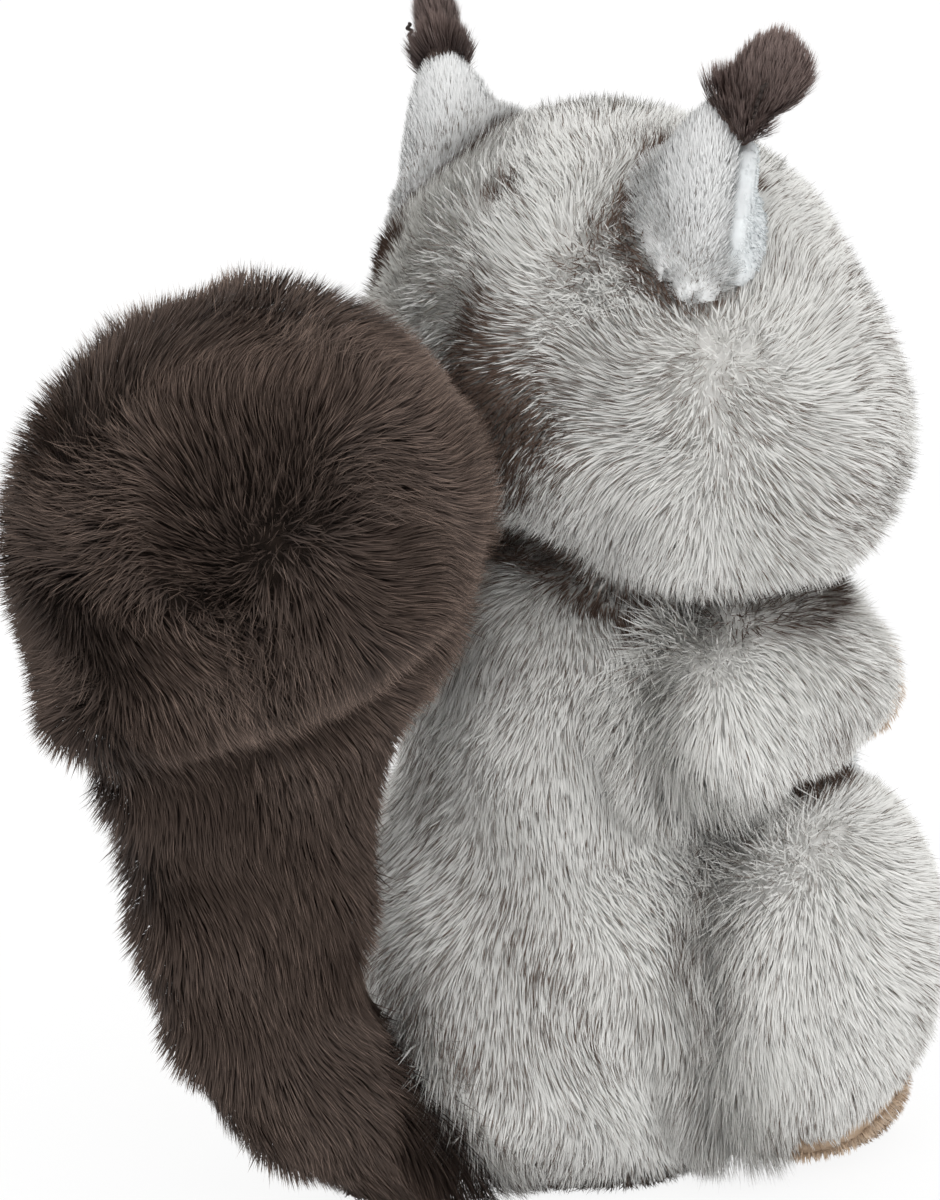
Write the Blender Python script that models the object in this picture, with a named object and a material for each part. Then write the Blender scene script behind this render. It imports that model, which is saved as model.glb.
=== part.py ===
"""A seated plush squirrel with a thick curled tail, at its real size.

Units are metres. +Z is up, and the squirrel looks along -Y, so its right side is at -X.
The origin is in the middle of the flat seat, on the ground.
Each soft piece is one solid, a sewn skin with its filling, drawn to the outside of its pile.
"""

import math

import bmesh
import bpy
from mathutils import Euler, Matrix, Vector
from mathutils.geometry import interpolate_bezier

# Clearance between two pieces that meet
GAP = 0.0003

# Relief of the pile's locks
LOCK_SIZE = 0.016
LOCK_RELIEF = 0.0030

# Hips, the lower half of the body
HIP_WIDTH = 0.112
HIP_DEPTH = 0.128
HIP_HEIGHT = 0.150
HIP_RISE = 0.053

# Chest, the upper half of the body
CHEST_WIDTH = 0.098
CHEST_DEPTH = 0.110
CHEST_HEIGHT = 0.104
CHEST_RISE = 0.116
CHEST_FORWARD = 0.003

# White belly panel
BELLY_WIDTH = 0.084
BELLY_DEPTH = 0.076
BELLY_HEIGHT = 0.100
BELLY_RISE = 0.074
BELLY_PROUD = 0.014

# Head: a crown, a brow in front of it and two cheeks
CROWN_WIDTH = 0.126
CROWN_DEPTH = 0.112
CROWN_HEIGHT = 0.110
CROWN_FORWARD = 0.003
NECK_SINK = 0.016
BROW_WIDTH = 0.100
BROW_DEPTH = 0.084
BROW_HEIGHT = 0.092
BROW_FORWARD = 0.023
CHEEK_SIZE = 0.093
CHEEK_SPREAD = 0.034
CHEEK_FORWARD = 0.007
CHEEK_DROP = 0.019

# Muzzle and nose
MUZZLE_WIDTH = 0.050
MUZZLE_DEPTH = 0.048
MUZZLE_HEIGHT = 0.042
MUZZLE_PROUD = 0.020
MUZZLE_DROP = 0.026
NOSE_WIDTH = 0.014
NOSE_DEPTH = 0.010
NOSE_HEIGHT = 0.010
NOSE_TURN = math.radians(28)

# Eyes
EYE_DIAMETER = 0.014
EYE_PROUD = 0.0042
EYE_TURN = math.radians(29)
EYE_DROP = math.radians(4)

# Ears, each a cupped drop that opens outwards and forwards
EAR_WIDTH = 0.045
EAR_HEIGHT = 0.054
EAR_THICKNESS = 0.026
EAR_CUP = 0.006
EAR_TAPER = 0.42
EAR_FULLNESS = 1.45
EAR_SPREAD = 0.034
EAR_BACK = 0.011
EAR_LIFT = 0.011
EAR_TURN = math.radians(46)
EAR_TIP_OUT = math.radians(12)
EAR_TIP_FORWARD = math.radians(14)

# Smooth linings in the ears' hollows
LINING_MARGIN = 0.006
LINING_THICKNESS = 0.005

# Tufts on the ear tips
TUFT_WIDTH = 0.016
TUFT_DEPTH = 0.028
TUFT_HEIGHT = 0.030
TUFT_SINK = 0.010
TUFT_ROOT_SHARE = 0.42
TUFT_LOCKS = 7
TUFT_LOCK_DEPTH = 0.14
TUFT_LEAN = math.radians(30)

# Arms and paws
ARM_WIDTH = 0.046
ARM_DEPTH = 0.078
ARM_HEIGHT = 0.052
ARM_FORWARD = 0.013
ARM_LIFT = 0.010
FOREARM_THICKNESS = 0.034
ELBOW_SHARE = 0.40
WRIST_SHARE = 0.84
PAW_SIZE = 0.028
PAW_SPREAD = 0.017
PAW_PROUD = 0.009
PAW_LIFT = 0.036

# Thighs and feet
THIGH_WIDTH = 0.052
THIGH_DEPTH = 0.073
THIGH_HEIGHT = 0.096
THIGH_RAISE = 0.007
THIGH_SINK = 0.004
THIGH_FORWARD = 0.028
FOOT_WIDTH = 0.040
FOOT_LENGTH = 0.060
FOOT_HEIGHT = 0.034
FOOT_SINK = 0.004
FOOT_INSET = 0.014
FOOT_FORWARD = 0.013

# Tail: a bent stem, a lobe that curls back over it and a tip that curls down
STEM_ROOT_WIDTH = 0.036
STEM_ROOT_DEPTH = 0.034
STEM_TOP_WIDTH = 0.054
STEM_TOP_DEPTH = 0.094
STEM_SINK = 0.004
STEM_RISE = 0.006
STEM_BULGE = 0.057
STEM_LIFT = 0.8
STEM_UPRIGHT_SHARE = 1 / 3
LOBE_WIDTH = 0.092
LOBE_DEPTH = 0.124
LOBE_HEIGHT = 0.118
LOBE_DROP = 0.033
LOBE_PRESS = 0.010
TIP_SIZE = 0.054
TIP_BACK = 0.030
TIP_DROP = 0.034

# Fineness of the meshes, as facets across a piece or as the lumps under its skin
HEAD_FACETS = 11
BODY_FACETS = 11
TAIL_FACETS = 11
ARM_FACETS = 5
FOREARM_LUMPS = 3
STEM_LUMPS = 7
SOFTENING_STEPS = 2
LUMP_FINENESS = 3
BALL_SEGMENTS = 14
BALL_RINGS = 8
TUFT_RINGS = 8
EAR_SEGMENTS = 14
EAR_RINGS = 8

# Each side's sign along X
SIDES = {"right": -1, "left": 1}

# Places that follow from the sizes, in the shared frame
hips_at = Vector((0, 0, HIP_RISE))
chest_at = Vector((0, -CHEST_FORWARD, CHEST_RISE))
crown_at = Vector((0, -CROWN_FORWARD, CHEST_RISE + CHEST_HEIGHT / 2 + CROWN_HEIGHT / 2 - NECK_SINK))
brow_at = crown_at + Vector((0, -BROW_FORWARD, 0))
belly_at = Vector((0, -HIP_DEPTH / 2 - BELLY_PROUD + BELLY_DEPTH / 2, BELLY_RISE))


def clear_scene():
    for obj in list(bpy.data.objects):
        bpy.data.objects.remove(obj)


def plain_material(name, colour, roughness, metallic=0.0):
    material = bpy.data.materials.new(name)
    material.use_nodes = True
    shader = material.node_tree.nodes["Principled BSDF"]
    shader.inputs["Base Color"].default_value = (*colour, 1)
    shader.inputs["Roughness"].default_value = roughness
    shader.inputs["Metallic"].default_value = metallic
    return material


def lock_texture():
    """Soft noise that lifts and sinks the pile from lock to lock."""
    texture = bpy.data.textures.new("pile_locks", "CLOUDS")
    texture.noise_scale = LOCK_SIZE
    texture.noise_depth = 1
    return texture


def add_object(name, mesh, parent, place, turn=(0, 0, 0)):
    """Places the mesh at a point of the shared frame, under a parent that isn't turned."""
    obj = bpy.data.objects.new(name, mesh)
    bpy.context.scene.collection.objects.link(obj)
    obj.parent = parent
    carried_by = Vector((0, 0, 0))
    while parent:
        carried_by += parent.location
        parent = parent.parent
    obj.location = Vector(place) - carried_by
    obj.rotation_euler = turn
    return obj


def mesh_from(bm, name):
    mesh = bpy.data.meshes.new(name)
    bmesh.ops.recalc_face_normals(bm, faces=bm.faces)
    bm.to_mesh(mesh)
    bm.free()
    mesh.shade_smooth()
    return mesh


def ball_mesh(name, size):
    """A small ellipsoid of the given width, depth and height."""
    bm = bmesh.new()
    bmesh.ops.create_uvsphere(bm, u_segments=BALL_SEGMENTS, v_segments=BALL_RINGS, radius=0.5)
    bmesh.ops.scale(bm, vec=size, verts=bm.verts)
    return mesh_from(bm, name)


def lumps_mesh(name, lumps):
    """Ellipsoids, each a middle and a size. Where there are several, a skin is then drawn over them."""
    bm = bmesh.new()
    for middle, size in lumps:
        place = Matrix.LocRotScale(Vector(middle), None, Vector(size))
        bmesh.ops.create_icosphere(bm, subdivisions=LUMP_FINENESS, radius=0.5, matrix=place)
    return mesh_from(bm, name)


def ear_half_width(rise):
    """Half the ear's width at a height from 0 at its root to 1 at its tip, before its ends round off."""
    return (1 - EAR_TAPER * rise) * EAR_WIDTH / 2


def ear_cup(across):
    """How far the ear's sides bend forwards, which hollows its front."""
    return EAR_CUP * (across / (EAR_WIDTH / 2)) ** 2


def ear_front(across, rise):
    """How far the ear's front stands out from the middle of its root."""
    round_off = 1 - (across / ear_half_width(rise)) ** 2 - (2 * rise - 1) ** 2
    return EAR_THICKNESS / 2 * math.sqrt(max(round_off, 0)) + ear_cup(across)


def ear_mesh(name):
    """A flattened drop, full near its root and narrow at its tip, hollowed towards -Y."""
    bm = bmesh.new()
    bmesh.ops.create_uvsphere(bm, u_segments=EAR_SEGMENTS, v_segments=EAR_RINGS, radius=1)
    for vert in bm.verts:
        rise = (vert.co.z + 1) / 2
        across = vert.co.x * ear_half_width(rise)
        front = vert.co.y * EAR_THICKNESS / 2 - ear_cup(across)
        vert.co = Vector((across, front, EAR_HEIGHT * rise**EAR_FULLNESS))
    return mesh_from(bm, name)


def lining_mesh(name):
    """A thin pad that follows the ear's front, half sunk in it, a margin in from the ear's rim."""
    bm = bmesh.new()
    bmesh.ops.create_uvsphere(bm, u_segments=EAR_SEGMENTS, v_segments=EAR_RINGS, radius=1)
    margin = LINING_MARGIN / EAR_HEIGHT
    for vert in bm.verts:
        rise = margin + (1 - 2 * margin) * (vert.co.z + 1) / 2
        across = vert.co.x * (ear_half_width(rise) - LINING_MARGIN)
        front = vert.co.y * LINING_THICKNESS / 2 - ear_front(across, rise)
        vert.co = Vector((across, front, EAR_HEIGHT * rise**EAR_FULLNESS))
    return mesh_from(bm, name)


def brush_mesh(name):
    """A brush of pile that fans out upwards and ends in ragged locks."""
    bm = bmesh.new()
    bmesh.ops.create_uvsphere(bm, u_segments=2 * TUFT_LOCKS, v_segments=TUFT_RINGS, radius=1)
    for vert in bm.verts:
        rise = (vert.co.z + 1) / 2
        fan = TUFT_ROOT_SHARE + (1 - TUFT_ROOT_SHARE) * rise
        off_axis = math.hypot(vert.co.x, vert.co.y)
        around = math.atan2(vert.co.y, vert.co.x)
        lock = 1 + TUFT_LOCK_DEPTH * math.cos(TUFT_LOCKS * around) * off_axis * rise
        vert.co = Vector((
            vert.co.x * fan * lock * TUFT_WIDTH / 2,
            vert.co.y * fan * lock * TUFT_DEPTH / 2,
            rise * lock * TUFT_HEIGHT,
        ))
    return mesh_from(bm, name)


def draw_skin(obj, facet, locks_noise):
    """Joins the lumps under one skin, softens the creases between them and raises the locks."""
    skin = obj.modifiers.new("skin", "REMESH")
    skin.mode = "VOXEL"
    skin.voxel_size = facet
    skin.use_smooth_shade = True
    soften = obj.modifiers.new("soften", "SMOOTH")
    soften.iterations = SOFTENING_STEPS
    locks = obj.modifiers.new("locks", "DISPLACE")
    locks.texture = locks_noise
    locks.strength = LOCK_RELIEF
    facets = obj.modifiers.new("facets", "TRIANGULATE")
    facets.quad_method = "FIXED"


def hide_cutter(obj):
    obj.hide_render = True
    obj.display_type = "WIRE"


def clearance_copy(obj, shaping):
    """The same form grown all over by the clearance, to cut its seat in a neighbour."""
    cutter = bpy.data.objects.new(obj.name + "_clearance", obj.data)
    bpy.context.scene.collection.objects.link(cutter)
    cutter.parent = obj
    hide_cutter(cutter)
    if shaping:
        draw_skin(cutter, *shaping)
    grow = cutter.modifiers.new("clearance", "DISPLACE")
    grow.strength = GAP
    grow.mid_level = 0
    return cutter


def carve(obj, cutters):
    """Cuts the seats. The exact solver loses a soft form that another meets at a grazing angle."""
    for cutter in cutters:
        seat = obj.modifiers.new("seat_" + cutter.name, "BOOLEAN")
        seat.operation = "DIFFERENCE"
        seat.solver = "MANIFOLD"
        seat.object = cutter


def ground_block(reach):
    """Everything below the ground, which flattens what the squirrel sits on."""
    bm = bmesh.new()
    bmesh.ops.create_cube(bm, size=2 * reach)
    block = add_object("ground", mesh_from(bm, "ground"), None, (0, 0, -reach))
    hide_cutter(block)
    return block


class Workshop:
    """Makes the pieces, and keeps a clearance copy of each for the pieces that meet it."""

    def __init__(self, root, ground, locks_noise):
        self.root = root
        self.ground = ground
        self.locks_noise = locks_noise
        self.pieces = {}
        self.cutters = {}

    def add(
        self, name, mesh, material, place,
        meets=(), parent=None, turn=(0, 0, 0), shaping=None, grounded=False,
    ):
        obj = add_object(name, mesh, self.pieces.get(parent, self.root), place, turn)
        obj.data.materials.append(material)
        if shaping:
            draw_skin(obj, *shaping)
        self.cutters[name] = clearance_copy(obj, shaping)
        carve(obj, [self.cutters[other] for other in meets])
        if grounded:
            carve(obj, [self.ground])
        self.pieces[name] = obj
        return obj

    def add_lumps(self, name, lumps, material, place, facet, **how):
        mesh = lumps_mesh(name, lumps)
        return self.add(name, mesh, material, place, shaping=(facet, self.locks_noise), **how)


def add_body(shop, fur):
    lumps = [
        ((0, 0, 0), (HIP_WIDTH, HIP_DEPTH, HIP_HEIGHT)),
        (chest_at - hips_at, (CHEST_WIDTH, CHEST_DEPTH, CHEST_HEIGHT)),
    ]
    shop.add_lumps("body", lumps, fur, hips_at, HIP_DEPTH / BODY_FACETS, grounded=True)


def add_head(shop, fur):
    lumps = [
        ((0, 0, 0), (CROWN_WIDTH, CROWN_DEPTH, CROWN_HEIGHT)),
        (brow_at - crown_at, (BROW_WIDTH, BROW_DEPTH, BROW_HEIGHT)),
    ]
    for sign in SIDES.values():
        lumps.append(((sign * CHEEK_SPREAD, -CHEEK_FORWARD, -CHEEK_DROP), (CHEEK_SIZE,) * 3))
    shop.add_lumps("head", lumps, fur, crown_at, CROWN_HEIGHT / HEAD_FACETS, meets=["body"])


def add_face(shop, white, plastic):
    muzzle_at = brow_at + Vector((0, -BROW_DEPTH / 2 - MUZZLE_PROUD + MUZZLE_DEPTH / 2, -MUZZLE_DROP))
    muzzle = ball_mesh("muzzle", (MUZZLE_WIDTH, MUZZLE_DEPTH, MUZZLE_HEIGHT))
    shop.add("muzzle", muzzle, white, muzzle_at, meets=["head"], parent="head")
    nose_at = muzzle_at + Vector((
        0,
        -MUZZLE_DEPTH / 2 * math.cos(NOSE_TURN),
        MUZZLE_HEIGHT / 2 * math.sin(NOSE_TURN),
    ))
    nose = ball_mesh("nose", (NOSE_WIDTH, NOSE_DEPTH, NOSE_HEIGHT))
    shop.add("nose", nose, plastic, nose_at, meets=["muzzle", "head"], parent="head")
    for side, sign in SIDES.items():
        outward = Vector((
            sign * math.sin(EYE_TURN) * math.cos(EYE_DROP),
            -math.cos(EYE_TURN) * math.cos(EYE_DROP),
            -math.sin(EYE_DROP),
        ))
        surface = Vector((
            outward.x * BROW_WIDTH / 2,
            outward.y * BROW_DEPTH / 2,
            outward.z * BROW_HEIGHT / 2,
        ))
        eye_at = brow_at + surface + outward * (EYE_PROUD - EYE_DIAMETER / 2)
        eye = ball_mesh("eye_" + side, (EYE_DIAMETER,) * 3)
        shop.add("eye_" + side, eye, plastic, eye_at, meets=["head", "muzzle"], parent="head")


def add_ears(shop, fur, white, brown):
    for side, sign in SIDES.items():
        ear, lining, tuft = "ear_" + side, "ear_lining_" + side, "ear_tuft_" + side
        turn = Euler((EAR_TIP_FORWARD, sign * EAR_TIP_OUT, sign * EAR_TURN))
        ear_at = crown_at + Vector((sign * EAR_SPREAD, EAR_BACK, EAR_LIFT))
        shop.add(lining, lining_mesh(lining), white, ear_at, meets=["head"], parent="head", turn=turn)
        shop.add(ear, ear_mesh(ear), fur, ear_at, meets=["head", lining], parent="head", turn=turn)
        tuft_at = ear_at + turn.to_matrix() @ Vector((0, 0, EAR_HEIGHT - TUFT_SINK))
        lean = Euler((EAR_TIP_FORWARD + TUFT_LEAN, sign * EAR_TIP_OUT, sign * EAR_TURN))
        shop.add(tuft, brush_mesh(tuft), brown, tuft_at, meets=[ear, lining], parent="head", turn=lean)


def add_arms(shop, fur, beige):
    for side, sign in SIDES.items():
        shoulder_at = chest_at + Vector((sign * CHEST_WIDTH / 2, -ARM_FORWARD, ARM_LIFT))
        paw_at = Vector((
            sign * PAW_SPREAD,
            belly_at.y - BELLY_DEPTH / 2 + PAW_PROUD,
            BELLY_RISE + PAW_LIFT,
        ))
        paw = ball_mesh("paw_" + side, (PAW_SIZE,) * 3)
        shop.add("paw_" + side, paw, beige, paw_at, meets=["body"])
        reach = paw_at - shoulder_at
        lumps = [((0, 0, 0), (ARM_WIDTH, ARM_DEPTH, ARM_HEIGHT))]
        for step in range(FOREARM_LUMPS):
            share = ELBOW_SHARE + (WRIST_SHARE - ELBOW_SHARE) * step / (FOREARM_LUMPS - 1)
            lumps.append((reach * share, (FOREARM_THICKNESS,) * 3))
        shop.add_lumps(
            "arm_" + side, lumps, fur, shoulder_at, ARM_HEIGHT / ARM_FACETS,
            meets=["body", "head", "paw_" + side],
        )


def add_legs(shop, fur, beige):
    for side, sign in SIDES.items():
        thigh_at = Vector((
            sign * (HIP_WIDTH / 2 - THIGH_SINK),
            -THIGH_FORWARD,
            THIGH_HEIGHT / 2 + THIGH_RAISE,
        ))
        foot_at = Vector((
            thigh_at.x - sign * FOOT_INSET,
            thigh_at.y - FOOT_FORWARD,
            FOOT_HEIGHT / 2 - FOOT_SINK,
        ))
        foot = ball_mesh("foot_" + side, (FOOT_WIDTH, FOOT_LENGTH, FOOT_HEIGHT))
        shop.add("foot_" + side, foot, beige, foot_at, meets=["body"], grounded=True)
        thigh = lumps_mesh("thigh_" + side, [((0, 0, 0), (THIGH_WIDTH, THIGH_DEPTH, THIGH_HEIGHT))])
        shop.add(
            "thigh_" + side, thigh, fur, thigh_at,
            meets=["body", "foot_" + side, "arm_" + side],
        )


def add_belly(shop, white):
    belly = lumps_mesh("belly_panel", [((0, 0, 0), (BELLY_WIDTH, BELLY_DEPTH, BELLY_HEIGHT))])
    limbs = [limb + side for limb in ("foot_", "thigh_", "arm_", "paw_") for side in SIDES]
    shop.add("belly_panel", belly, white, belly_at, meets=["body", "head", *limbs], grounded=True)


def add_tail(shop, fur):
    """The lobe leans on the back of the head, and the stem joins it to the rump."""
    root_at = Vector((0, HIP_DEPTH / 2 - STEM_SINK, STEM_RISE))
    head_back = CROWN_DEPTH / 2 - CROWN_FORWARD
    lobe_at = Vector((0, head_back + LOBE_DEPTH / 2 - LOBE_PRESS, crown_at.z - LOBE_DROP))
    lobe = lobe_at - root_at
    stem = interpolate_bezier(
        Vector((0, 0, 0)),
        Vector((0, STEM_BULGE, STEM_BULGE * STEM_LIFT)),
        Vector((0, lobe.y, lobe.z * STEM_UPRIGHT_SHARE)),
        lobe,
        STEM_LUMPS,
    )
    lumps = []
    for step, middle in enumerate(stem):
        share = step / (STEM_LUMPS - 1)
        width = STEM_ROOT_WIDTH + (STEM_TOP_WIDTH - STEM_ROOT_WIDTH) * share
        depth = STEM_ROOT_DEPTH + (STEM_TOP_DEPTH - STEM_ROOT_DEPTH) * share
        lumps.append((middle, (width, depth, depth)))
    lumps.append((lobe, (LOBE_WIDTH, LOBE_DEPTH, LOBE_HEIGHT)))
    lumps.append((lobe + Vector((0, TIP_BACK, -TIP_DROP)), (TIP_SIZE,) * 3))
    shop.add_lumps(
        "tail", lumps, fur, root_at, LOBE_HEIGHT / TAIL_FACETS, meets=["body", "head"], grounded=True
    )


def main():
    clear_scene()
    frosted = plain_material("frosted_pile", (0.44, 0.43, 0.41), 0.95)
    brown = plain_material("brown_pile", (0.035, 0.024, 0.019), 0.9)
    white = plain_material("white_plush", (0.62, 0.65, 0.66), 0.9)
    beige = plain_material("beige_plush", (0.52, 0.40, 0.29), 0.9)
    plastic = plain_material("dark_plastic", (0.010, 0.007, 0.006), 0.15)
    root = bpy.data.objects.new("squirrel", None)
    bpy.context.scene.collection.objects.link(root)
    shop = Workshop(root, ground_block(HIP_DEPTH + LOBE_DEPTH), lock_texture())
    add_body(shop, frosted)
    add_head(shop, frosted)
    add_face(shop, white, plastic)
    add_ears(shop, frosted, white, brown)
    add_arms(shop, frosted, beige)
    add_legs(shop, frosted, beige)
    add_belly(shop, white)
    add_tail(shop, brown)


main()
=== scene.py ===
"""The looks of a seated plush squirrel: sewn skins, long pile, short plush, stitches, eyes and nose.

Units are metres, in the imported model's own frame. The squirrel looks along -Y, and its right side is at -X.
Each soft piece is a skin that stands for its solid, and a coat of pile strands that grow from that skin.
"""

import math
from dataclasses import dataclass

import bmesh
import bpy
import numpy as np
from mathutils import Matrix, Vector
from mathutils.bvhtree import BVHTree
from mathutils.kdtree import KDTree


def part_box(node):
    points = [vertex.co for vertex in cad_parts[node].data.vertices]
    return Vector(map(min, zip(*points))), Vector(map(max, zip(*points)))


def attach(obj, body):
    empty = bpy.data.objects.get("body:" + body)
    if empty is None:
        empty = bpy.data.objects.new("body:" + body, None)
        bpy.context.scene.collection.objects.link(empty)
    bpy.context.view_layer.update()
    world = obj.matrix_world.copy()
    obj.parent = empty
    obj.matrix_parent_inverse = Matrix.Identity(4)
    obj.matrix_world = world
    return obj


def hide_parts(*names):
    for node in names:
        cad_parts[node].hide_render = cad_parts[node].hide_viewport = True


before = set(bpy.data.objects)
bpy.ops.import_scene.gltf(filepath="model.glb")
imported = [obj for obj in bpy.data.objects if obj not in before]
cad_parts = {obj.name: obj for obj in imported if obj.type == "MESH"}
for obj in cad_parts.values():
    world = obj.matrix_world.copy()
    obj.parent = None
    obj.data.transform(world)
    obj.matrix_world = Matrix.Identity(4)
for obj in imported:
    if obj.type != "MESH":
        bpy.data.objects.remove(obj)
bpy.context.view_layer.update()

SEED = 11
SIDES = {"right": -1, "left": 1}
TINY = 1e-12

# The photograph's frame and view
FRAME_WIDTH = 940
FRAME_HEIGHT = 1200
VIEW_AZIMUTH = math.radians(230)
VIEW_ELEVATION = math.radians(15)
VIEW_DISTANCE = 1.2
PIXELS_PER_METRE = 3953
ORIGIN_PIXEL = (590, 1132)
SENSOR_HEIGHT = 36
CLIP_START = 0.05
CLIP_END = 100

# Light: a soft key from above the camera, a softer fill from the squirrel's front, and the room.
# Azimuths run round from the squirrel's front. All these angles are in degrees.
KEY = {"strength": 0.9, "azimuth": 238, "elevation": 48, "softness": 50}
FILL = {"strength": 0.8, "azimuth": 20, "elevation": 35, "softness": 70}
ROOM_STRENGTH = 0.92
FLOOR_SIZE = 30
FLOOR_COLOUR = (0.94, 0.94, 0.94)
FLOOR_WHITENESS = 0.9

# Skins: a piece touches its neighbour up to CONTACT and is free of it from OPEN. Its skin lies under its
# pile, no deeper than a share of its thickness. The smoothing numbers are rounds of blurring.
CONTACT = 0.0008
OPEN = 0.004
THICKNESS_SHARE = 0.3
DEPTH_SMOOTHING = 3
SHIFT_SMOOTHING = 2
SHAPE_SMOOTHING = 6
FACING_SMOOTHING = 3

# Strands start clear of a neighbour, part over a crease, are shorter where the skin is shallow, and stay
# clear of the ground. Their lengths and widths vary.
GROWS_FROM = (0.0006, 0.0016)
CREASE = 0.008
CREASE_PARTING = 0.3
SHORTEST = 0.45
LONGEST = 1.06
WIDTH_RANGE = (0.7, 1.3)
GROUND_CLEAR = 0.0006

# How a strand bends along its lie and at random, and how it is drawn to its lock's guide
LIE_BEND = 0.3
RANDOM_BEND = 0.6
LEAST_PULL = 0.4
MIDDLE_PULL = 0.35

# How far a strand's flat side turns from facing outwards
TWIST = 0.4

# Pieces whose pile runs together over the crease between them, with no seam to see: there the strands turn
# away from the neighbour, lean less and are longer
BLENDS = {"body": ("thigh", "arm", "tail"), "thigh": ("body",), "arm": ("body",), "tail": ("body",)}
BLEND_REACH = 0.020
BLEND_PARTING = 1.0
BLEND_STRAIGHTENING = 0.5
BLEND_LENGTHENING = 1.1

# Whorls that the strands lean away from, swirls in their lie, and how unruly they are where they lean least
WHORL_CORE = 0.006
WHORL_REACH = 0.034
SWIRL_SIZE = 0.018
RESTLESSNESS = 2.5

# Brown tips: along the seams, on the nape, on the back by the tail, along the hem, in streaks and in
# patches, which are fewer on the face. Those along the seams, on the nape and on the back by the tail are
# partly painted shade, of the creases and of the tail that presses on the head and back. They fade over each
# reach, and a share is of the strands, at most.
SEAM_REACH = (0.002, 0.010)
NAPE_REACH = (0.010, 0.034)
NAPE_TIPS_AND_SHADE = 0.5
BACK_REACH = (0.022, 0.060)
BACK_TIPS_AND_SHADE = 0.24
HEM_REACH = (0.002, 0.009)
HEM_SHARE = 0.6
STREAK_REACH = (0.002, 0.006)
STREAK_SHARE = 0.6
PATCH_SIZE = 0.022
FACE_REACH = (-0.060, -0.030)
FACE_PATCH_SHARE = 0.06
MORE_PATCHES_BEHIND = 0.22

# A strand's shade runs from 0 to 1. Up to TIPPED_FROM it is plain, and from there on its tip has another
# tone: brown in frosted pile, light in brown pile. Tipped strands are thinner and longer than plain ones.
TIPPED_FROM = 0.7
TIPPED_MARGIN = 0.02
TIPPED_THINNESS = 0.38
TIPPED_LENGTHENING = 1.1

# Tipped strands widen to a plain one's width as their share of the frosted pile rises, which makes a band
BAND_FROM = (0.4, 0.9)

# Shades outside frosted pile: mottled, and on the tail darker round its whorls, and darker down its stem
# under the lobe's curl, which is painted shade
SHADE_MOTTLING = 0.12
SHADE_PATCH_SIZE = 0.03
TAIL_LIGHTENING = 0.2
WHORL_DARKENING = 0.5
DARK_REACH = (0.006, 0.046)
STEM_PAINTED_SHADE = 0.36
STEM_TOP = (0.120, 0.145)

# Mottling is a sum of waves of several lengths, held between -1 and 1
WAVES = 14
WAVE_RANGE = (0.6, 1.6)
WAVE_SUM_SCALE = 3

# The tail's lobe curls back over its stem along a tilted plane: a crease just under it and a swell above
CURL_AT = (0.075, 0.148)
CURL_SLOPE = 0.30
CURL_PINCH = 0.006
CURL_PINCH_REACH = 0.006
CURL_SWELL = 0.003
CURL_SWELL_AT = 0.011
CURL_SWELL_REACH = 0.008

# Thread: how thick and long a stitch is, how far it stands off the tuft, and its wave, in radii. The row
# runs between two places of the tuft's box, and it is laid on the tuft from a little behind and outside.
THREAD_RADIUS = 0.00045
THREAD_LIFT = 0.0012
THREAD_WAVE = 1.6
STITCH_LENGTH = 0.0019
STEPS_IN_STITCH = 4
STITCHES_START = (0.75, 0.60, 0.06)
STITCHES_END = (0.45, 0.60, 0.58)
STITCHES_ASIDE = 0.008

# Eyes and nose: balls of radius 1 before they are sized, with a rim round their middle
BALL_SEGMENTS = 32
BALL_RINGS = 20
RIM_AT = 0.05
RIM_WIDTH = 0.12

# Grain of cloth, thread and plastic
KNIT_SCALE = 260
KNIT_DEPTH = 0.0006
GRAIN_DARK_AT = 0.35
GRAIN_LIGHT_AT = 0.65
BUMP_STRENGTH = 0.4

# How bright a strand is, by its shade
BRIGHTNESS = ((0, 0.92), (0.4, 1.0), (TIPPED_FROM, 1.0), (1, 0.8))

# The strands' map: its margin, and how far a strand's two sides lie apart on it
MAP_MARGIN = 0.01
MAP_HALF_WIDTH = 0.002

# Kinds from the largest to the smallest: where two meet, the smaller one reaches down into the pile of the
# larger one
SIZE_ORDER = (
    ("body",), ("head",), ("tail",), ("thigh",), ("arm", "ear"), ("belly", "muzzle", "foot", "paw"),
    ("ear_lining",), ("ear_tuft",), ("eye", "nose"),
)
RANKS = {kind: rank for rank, kinds in enumerate(SIZE_ORDER) for kind in kinds}

# Seams whose pile has brown tips, with the share of strands that have them right at the seam. The bands are
# partly brown tips and partly painted shade in the crease between the two pieces.
SEAM_TIPS_AND_SHADE = {
    "head": {"ear": 0.95, "body": 0.75},
    "body": {"head": 1.0, "thigh": 0.3},
    "thigh": {"arm": 0.8},
    "arm": {"thigh": 0.7, "head": 0.7},
    "ear": {"head": 0.25},
}


def kind_of(name):
    """A node's kind, without its side."""
    return name.replace("_right", "").replace("_left", "").replace("_panel", "")


def place_in(name, across, back, up):
    """A point of the node's box, as shares of its width, depth and height."""
    low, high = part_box(name)
    return np.array([a + (b - a) * share for a, b, share in zip(low, high, (across, back, up))])


def on_both_sides(name, across, back, up):
    return [place_in(name, share, back, up) for share in (across, 1 - across)]


def on_side(side, across):
    """A share of the width of a box on that side, counted from its outer edge."""
    return across if side == "right" else 1 - across


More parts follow.
